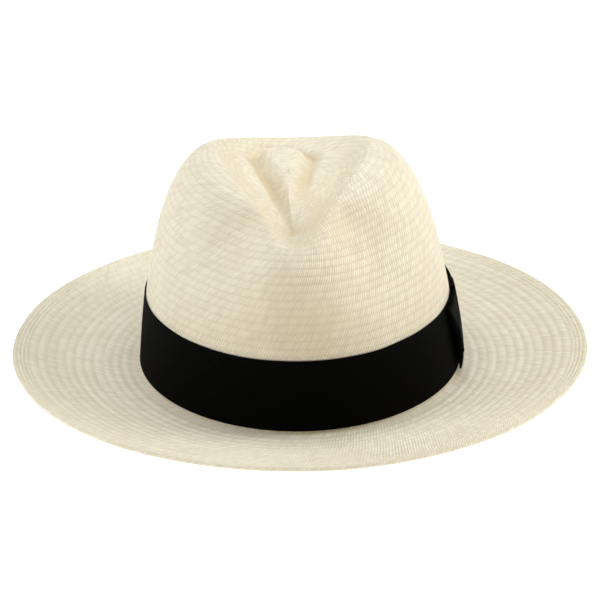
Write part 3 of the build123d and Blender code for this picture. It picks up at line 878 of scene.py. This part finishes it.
def wrapped_knot(name, side, z0, z1, in0, in1, turn0, turn1, thick, corner, cols, ribs, pinch):
    """A short ribbon wrapped round the middle of a bow."""
    path = []
    for cz, co, a0 in ((z1, in1, 0.0), (z1, in0, 0.5), (z0, in0, 1.0), (z0, in1, 1.5)):
        sign_z = 1.0 if cz == z1 else -1.0
        sign_o = 1.0 if co == in1 else -1.0
        for k in range(6):
            a = (a0 + 0.5 * k / 5.0) * math.pi
            path.append((
                cz - sign_z * corner + corner * math.sin(a), co - sign_o * corner + corner * math.cos(a),
            ))
    path = np.array(path)
    # straight runs get more points
    dense = []
    for k in range(len(path)):
        a, b = path[k], path[(k + 1) % len(path)]
        count = max(1, int(np.linalg.norm(b - a) / 2.0))
        for i in range(count):
            dense.append(a + (b - a) * i / count)
    path = np.array(dense)
    tangent = np.roll(path, -1, 0) - np.roll(path, 1, 0)
    tangent /= np.linalg.norm(tangent, axis=1, keepdims=True) + 1e-12
    normal = np.stack([tangent[:, 1], -tangent[:, 0]], -1)
    if (normal * (path - path.mean(axis=0))).sum() < 0:
        normal = -normal
    t = np.linspace(-1.0, 1.0, cols)
    grids = []
    for flip, off in ((False, thick / 2.0), (True, -thick / 2.0)):
        p = path + normal * off
        tt = t[::-1] if flip else t
        high = (p[:, 1] - in0) / (in1 - in0)
        squeeze = 1.0 - pinch * np.clip(high, 0.0, 1.0)
        turn = (turn0 + turn1) / 2.0 + (turn1 - turn0) / 2.0 * tt[:, None] * squeeze[None, :]
        fold = 0.10 * np.cos(3.0 * math.pi * tt)[:, None] * np.clip(high, 0, 1)[None, :]
        zz = np.repeat(p[None, :, 0], cols, 0)
        out = np.repeat(p[None, :, 1], cols, 0) + fold
        grids.append(side.place(turn, zz, out))
    v_uv = np.concatenate([t, 2.2 + t]) * 7.0
    obj = grid_object(name, np.concatenate(grids), True, True, v_uv, float(ribs))
    length = np.linalg.norm(np.roll(path, -1, 0) - path, axis=1).sum()
    return obj, length


knot_turn0 = float(side_turn(BOW_MIDDLE - KNOT_WIDE / 2.0))
knot_turn1 = float(side_turn(BOW_MIDDLE + KNOT_WIDE / 2.0))
bow_knot, knot_long = wrapped_knot(
    "bow_knot", left_side, RIBBON_LOW - 0.42, RIBBON_TOP + 0.42,
    knot_in + BOW_THICK / 2.0, knot_hole + BOW_THICK / 2.0, knot_turn0, knot_turn1,
    BOW_THICK, 0.5, 17, 84, 0.10,
)
finish_piece(bow_knot, knot_lit_mat, "grosgrain", "bow_knot")


def stitch(turn, z0, out0, z1, out1, bow=0.12):
    """The path of one short hand stitch over the wall."""
    share = np.linspace(0.0, 1.0, 7)
    z = z0 + (z1 - z0) * share
    out = out0 + (out1 - out0) * share + bow * np.sin(np.pi * share)
    return wall(z, [turn], out)[:, 0]


tacks = [
    stitch(math.radians(a), RIBBON_TOP - 1.2, BAND_OUT, RIBBON_TOP + 0.25, 0.1)
    for a in (0, 38, 140, 180, 220, 262, 300, 330)
]
ribbon_stitches = tube_object("ribbon_stitches", tacks, 0.13)
finish_piece(ribbon_stitches, black_thread_mat, "black_thread", "ribbon_stitches")

out = tail_in + BOW_THICK + 0.08
bow_tacks = []
for y, z in (
    (BOW_BACK + 6.0, RIBBON_LOW + 5.0), (BOW_BACK + 6.0, RIBBON_TOP - 5.0),
    (BOW_BACK + 3.0, RIBBON_TOP - 2.0),
):
    bow_tacks.append(stitch(float(side_turn(y)), z - 0.9, out - 0.1, z + 0.9, out - 0.1, 0.2))
bow_stitches = tube_object("bow_stitches", bow_tacks, 0.22)
finish_piece(bow_stitches, black_thread_mat, "black_thread", "bow_stitches")

# ------------------------------------------------------------ inside the crown
cloth_in = STRAW + 0.25
tape_in = cloth_in + 0.3
leather_out = tape_in + 0.25
leather_in = leather_out + 0.9
reed = 1.9
reed_z = LEATHER_LOW - reed / 2.0 - 0.3 + 0.1
reed_out = tape_in + reed / 2.0 + 0.12

cols = 420
slit = 0.4 / (HEAD_W / 2.0)
sweat_turns = np.pi + slit + np.linspace(0.0, 2.0 * np.pi - 2.0 * slit, cols + 1)
wave = 0.35 * wander(cols + 1, range(2, 18), 21, 0.7)
lean = 0.25 * (1.0 + wander(cols + 1, range(2, 12), 22))
share = np.array([0.0, 0.012, 0.05, 0.2, 0.4, 0.6, 0.8, 0.94, 0.985, 1.0])
z_low = LEATHER_LOW + 0.4
tall = LEATHER_TALL - 0.4
round_off = 0.18 * np.abs(2.0 * share - 1.0) ** 24
face_z = z_low + tall * share[:, None] + wave[None, :] * share[:, None] ** 2
face_out = -leather_in + round_off[:, None] - lean[None, :] * share[:, None] ** 2 * 0.6
back_share = share[::-3]
back_z = z_low + tall * back_share[:, None] + wave[None, :] * back_share[:, None] ** 2
back_out = np.full(back_z.shape, -leather_out) - lean[None, :] * back_share[:, None] ** 2 * 0.6
leather_z = np.concatenate([back_z[::-1], face_z[::-1]])
leather_depth = np.concatenate([back_out[::-1], face_out[::-1]])
points = wall(leather_z, sweat_turns, leather_depth)
v_uv = np.linspace(0.0, 70.0, len(points))
sweatband = grid_object("sweatband", points, True, False, v_uv, 540.0)
finish_piece(sweatband, leather_mat, "sweat_leather", "sweatband")

ring_turns = turn_ring(360)
hook_in = reed_out + reed / 2.0 + 0.1
tape_top = LEATHER_LOW + 7.0
section = [(tape_top, cloth_in), (8.0, cloth_in), (5.0, cloth_in), (reed_z, cloth_in)]
hook_mid = (cloth_in + hook_in + 0.3) / 2.0
hook_r = (hook_in + 0.3 - cloth_in) / 2.0
for a in np.linspace(0.0, np.pi, 10)[1:-1]:
    section.append((reed_z - hook_r * math.sin(a) * 0.95, hook_mid - hook_r * math.cos(a)))
section += [(reed_z, hook_in + 0.3), (LEATHER_LOW - 0.2, hook_in + 0.28)]
section += [(LEATHER_LOW - 0.1, hook_in + 0.12), (LEATHER_LOW - 0.2, hook_in)]
section += [(reed_z, hook_in)]
for a in np.linspace(np.pi, 0.0, 8)[1:-1]:
    section.append((reed_z - (hook_r - 0.3) * math.sin(a) * 0.95, hook_mid - (hook_r - 0.3) * math.cos(a)))
section += [(reed_z, tape_in), (5.0, tape_in), (8.0, tape_in), (tape_top, tape_in)]
section = np.array(section)
points = wall(np.maximum(section[:, 0], 2.25), ring_turns, -section[:, 1])
points[..., 2] = section[:, :1]
reed_cloth = grid_object("reed_cloth", points, True, True, np.arange(len(section)) * 1.0, 540.0)
finish_piece(reed_cloth, tape_mat, "tape", "reed_cloth")

angles = turn_ring(12)
points = wall(np.full(12, reed_z), ring_turns, -reed_out + reed / 2.0 * np.cos(angles))
points[..., 2] = (reed_z + reed / 2.0 * np.sin(angles))[:, None]
reed_piece = grid_object("sweatband_reed", points, True, True, np.arange(12) * 1.0, 540.0)
finish_piece(reed_piece, reed_mat, "reed_plastic", "sweatband_reed")


def stitch_ring(name, point_at, count, fill, arch, radius):
    """Separate stitches, one after another, along a closed line. point_at(turn, out) gives the line."""
    paths = []
    for k in range(count):
        centre = 2.0 * np.pi * (k + 0.5) / count
        reach = 2.0 * np.pi / count * fill / 2.0
        share = np.linspace(-1.0, 1.0, 6)
        paths.append([point_at(centre + reach * s, arch * (1.0 - s * s)) for s in share])
    return tube_object(name, paths, radius, 5)


def seam_line(turn, lift):
    return wall([LEATHER_LOW + 2.6], [turn % (2.0 * np.pi)], [-leather_in - 0.02 - lift])[0, 0]


sweat_stitches = stitch_ring("sweatband_stitching", seam_line, 190, 0.82, 0.16, 0.2)
finish_piece(sweat_stitches, tan_thread_mat, "tan_thread", "sweatband_stitching")

hem_at = surface(np.array([hem_u + 0.12]), turns, ctrl)[0]
hem_n = normals(surface(np.array([hem_u, hem_u + 0.12, hem_u + 0.24]), turns, ctrl))[1]


def hem_line(turn, lift):
    a = (turn % (2.0 * np.pi)) / (2.0 * np.pi) * COLS
    i = int(a) % COLS
    f = a - int(a)
    j = (i + 1) % COLS
    p = hem_at[i] * (1 - f) + hem_at[j] * f
    n = hem_n[i] * (1 - f) + hem_n[j] * f
    return p - n * (HEM + 0.02 + lift)


hem_stitches = stitch_ring("hem_stitching", hem_line, 300, 0.8, 0.14, 0.2)
finish_piece(hem_stitches, straw_thread_mat, "straw_thread", "hem_stitching")

# the patch and little bow over the sweatband's rear join
back_side = SideWall(math.pi - 0.3, math.pi + 0.3)
patch_in = leather_in + 0.2
rows, cols = 21, 17
share = np.linspace(0.0, 1.0, rows)
across = np.linspace(-1.0, 1.0, cols)
corner = 1.0 - 0.22 * np.clip((np.abs(2 * share - 1) - 0.86) / 0.14, 0, 1) ** 2
turn = math.pi + 0.12 * across[None, :] * corner[:, None]
z = (LEATHER_LOW + 4.5 + (LEATHER_TALL - 6.0) * share)[:, None] + np.zeros((rows, cols))
thin = 0.25 * (np.maximum(np.abs(across)[None, :], np.abs(2 * share - 1)[:, None]) ** 10)
face = back_side.place(turn, z, -patch_in - 0.6 + thin)
rear = back_side.place(turn, z, np.full(z.shape, -patch_in))
joint_patch = grid_object(
    "joint_patch", np.concatenate([rear, face[::-1]]), True, False, np.linspace(0, 60, 2 * rows), 21.0,
)
close_ends(joint_patch, rows, cols)
finish_piece(joint_patch, patch_mat, "sweat_leather", "joint_patch")

bow_near = patch_in + 0.8
rear_z = LEATHER_LOW + 16.0
rear_bow, _ = folded_ribbon(
    "rear_bow_loops", back_side, rear_z - 2.0, rear_z + 2.0, math.pi - 0.2, math.pi + 0.2,
    -bow_near - 0.75, -1.0, 0.3, 0.4, 1.2, 0.0, [1.0, 0.9, 1.0], 7, 30,
)
finish_piece(rear_bow, narrow_mat, "narrow_ribbon", "rear_bow_loops")
rear_knot, _ = wrapped_knot(
    "rear_bow_knot", back_side, rear_z - 2.55, rear_z + 2.55, -bow_near - 2.0, -bow_near - 0.3,
    math.pi - 0.04, math.pi + 0.04, 0.4, 0.3, 9, 10, 0.0,
)
finish_piece(rear_knot, narrow_mat, "narrow_ribbon", "rear_bow_knot")

# ------------------------------------------------------------ lengths round the wall at the band, the leather and the tape; the results are not kept
def round_length(z, depth):
    """Length in metres of a line round the crown's wall."""
    line = wall([z], turn_ring(720), [depth])[0]
    return float(np.linalg.norm(np.roll(line, -1, 0) - line, axis=1).sum()) * MM


round_length(22.0, BAND_OUT)
round_length(21.0, -leather_in + 0.45)
round_length(LEATHER_LOW, -tape_in)

# ------------------------------------------------------------ camera, floor and light
oval_centre = Vector((0.0, SHIFT_Y * MM, (RIBBON_LOW + SHIFT_Z) * MM))
azimuth, elevation, roll, distance = math.radians(-0.88), math.radians(22.57), math.radians(-1.03), 1.205
focal_px = 2199.4
seen_at = (299.0, 351.7)
right = Vector((math.cos(azimuth), math.sin(azimuth), 0.0))
level = math.cos(elevation)
ahead = Vector((-math.sin(azimuth) * level, math.cos(azimuth) * level, -math.sin(elevation)))
up = right.cross(ahead)
camera_data = bpy.data.cameras.new("camera")
camera = bpy.data.objects.new("camera", camera_data)
bpy.context.scene.collection.objects.link(camera)
bpy.context.scene.camera = camera
camera_data.sensor_width = 36.0
camera_data.lens = 36.0 * focal_px / 600.0
camera.location = oval_centre - ahead * distance
# the camera is turned, not shifted, so that the hat sits where it does in the frame
tilt = math.atan((seen_at[1] - 300.0) / focal_px)
pan = math.atan((300.0 - seen_at[0]) / focal_px)
ahead2 = (ahead * math.cos(tilt) + up * math.sin(tilt)).normalized()
up2 = right.cross(ahead2)
ahead3 = (ahead2 * math.cos(pan) + right * math.sin(pan)).normalized()
right3 = ahead3.cross(up2)
right4 = right3 * math.cos(roll) + up2 * math.sin(roll)
up4 = up2 * math.cos(roll) - right3 * math.sin(roll)
camera.matrix_world = Matrix((
    (right4.x, up4.x, -ahead3.x, camera.location.x),
    (right4.y, up4.y, -ahead3.y, camera.location.y),
    (right4.z, up4.z, -ahead3.z, camera.location.z),
    (0.0, 0.0, 0.0, 1.0),
))
camera_data.clip_start = 0.05
camera_data.clip_end = 50.0

floor_mesh = bpy.data.meshes.new("floor")
size = 6.0
corners = ((-1, -1), (1, -1), (1, 1), (-1, 1))
floor_mesh.from_pydata([(x * size, y * size, -0.0005) for x, y in corners], [], [(0, 1, 2, 3)])
floor = bpy.data.objects.new("floor", floor_mesh)
bpy.context.scene.collection.objects.link(floor)
floor_mat, tree, shader, m = new_material("floor")
shader.inputs["Base Color"].default_value = (0.80, 0.80, 0.80, 1.0)
shader.inputs["Roughness"].default_value = 0.9
shader.inputs["Specular IOR Level"].default_value = 0.0
shader.inputs["Emission Color"].default_value = (1.0, 1.0, 1.0, 1.0)
shader.inputs["Emission Strength"].default_value = 0.95
floor_mesh.materials.append(floor_mat)


def softbox(name, place, aim, width, height, power, colour=(1.0, 1.0, 1.0)):
    data = bpy.data.lights.new(name, "AREA")
    data.shape = "RECTANGLE"
    data.size, data.size_y = width, height
    data.energy = power
    data.color = colour
    lamp = bpy.data.objects.new(name, data)
    lamp.location = place
    lamp.rotation_mode = "QUATERNION"
    lamp.rotation_quaternion = (Vector(aim) - Vector(place)).to_track_quat("-Z", "Y")
    bpy.context.scene.collection.objects.link(lamp)


softbox("top", (0.0, 0.25, 1.8), (0.0, 0.0, 0.05), 1.6, 1.0, 29.0, (0.86, 0.91, 1.0))
softbox("left", (-1.6, -0.35, 0.80), (0.0, 0.0, 0.06), 0.7, 0.9, 11.5, (0.82, 0.89, 1.0))
softbox("right", (1.6, 0.0, 1.1), (0.0, 0.0, 0.06), 0.8, 1.0, 18.0, (0.92, 0.95, 1.0))
world = bpy.data.worlds.new("world")
world.use_nodes = True
world.node_tree.nodes["Background"].inputs[0].default_value = (1.0, 0.94, 0.84, 1.0)
world.node_tree.nodes["Background"].inputs[1].default_value = 0.22
bpy.context.scene.world = world
bpy.context.scene.view_settings.view_transform = "Standard"
